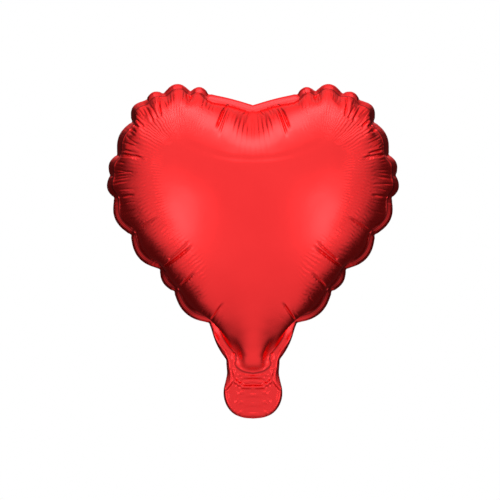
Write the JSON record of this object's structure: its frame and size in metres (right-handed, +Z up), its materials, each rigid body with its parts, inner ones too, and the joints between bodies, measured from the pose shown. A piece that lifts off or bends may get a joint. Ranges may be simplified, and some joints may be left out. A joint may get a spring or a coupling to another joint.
{
  "type": "heart-shaped foil balloon",
  "caption": "Inflated heart-shaped foil balloon of two metallised film panels with a scalloped welded rim, a check valve in the neck and a folding tail.",
  "frame": {"origin": "middle of the neck's waist, where a ribbon is tied, on the weld plane between the two panels", "axes": "+Z up from the tail to the cleft, the front panel faces -Y, +X to the right seen from the front"},
  "size_m": [0.1818, 0.0796, 0.2042],
  "materials": {
    "red_foil": "metallised film, satin mirror",
    "valve_film": "clear polythene film, soft sheen"
  },
  "bodies": {
    "envelope": {"front_panel": "red_foil", "back_panel": "red_foil", "front_valve_film": "valve_film", "back_valve_film": "valve_film", "front_crease_film": "red_foil", "back_crease_film": "red_foil", "front_valve_crease": "valve_film", "back_valve_crease": "valve_film"},
    "tail": {"front_tail_film": "red_foil", "back_tail_film": "red_foil", "front_inlet_film": "valve_film", "back_inlet_film": "valve_film"}
  },
  "joints": [
    {"name": "tail_fold", "type": "hinge", "parent": "envelope", "child": "tail", "pos_m": [0, 0, -0.01], "axis": [1, 0, 0], "range_deg": [-120, 120], "deforming": ["front_crease_film", "back_crease_film", "front_valve_crease", "back_valve_crease"]}
  ]
}
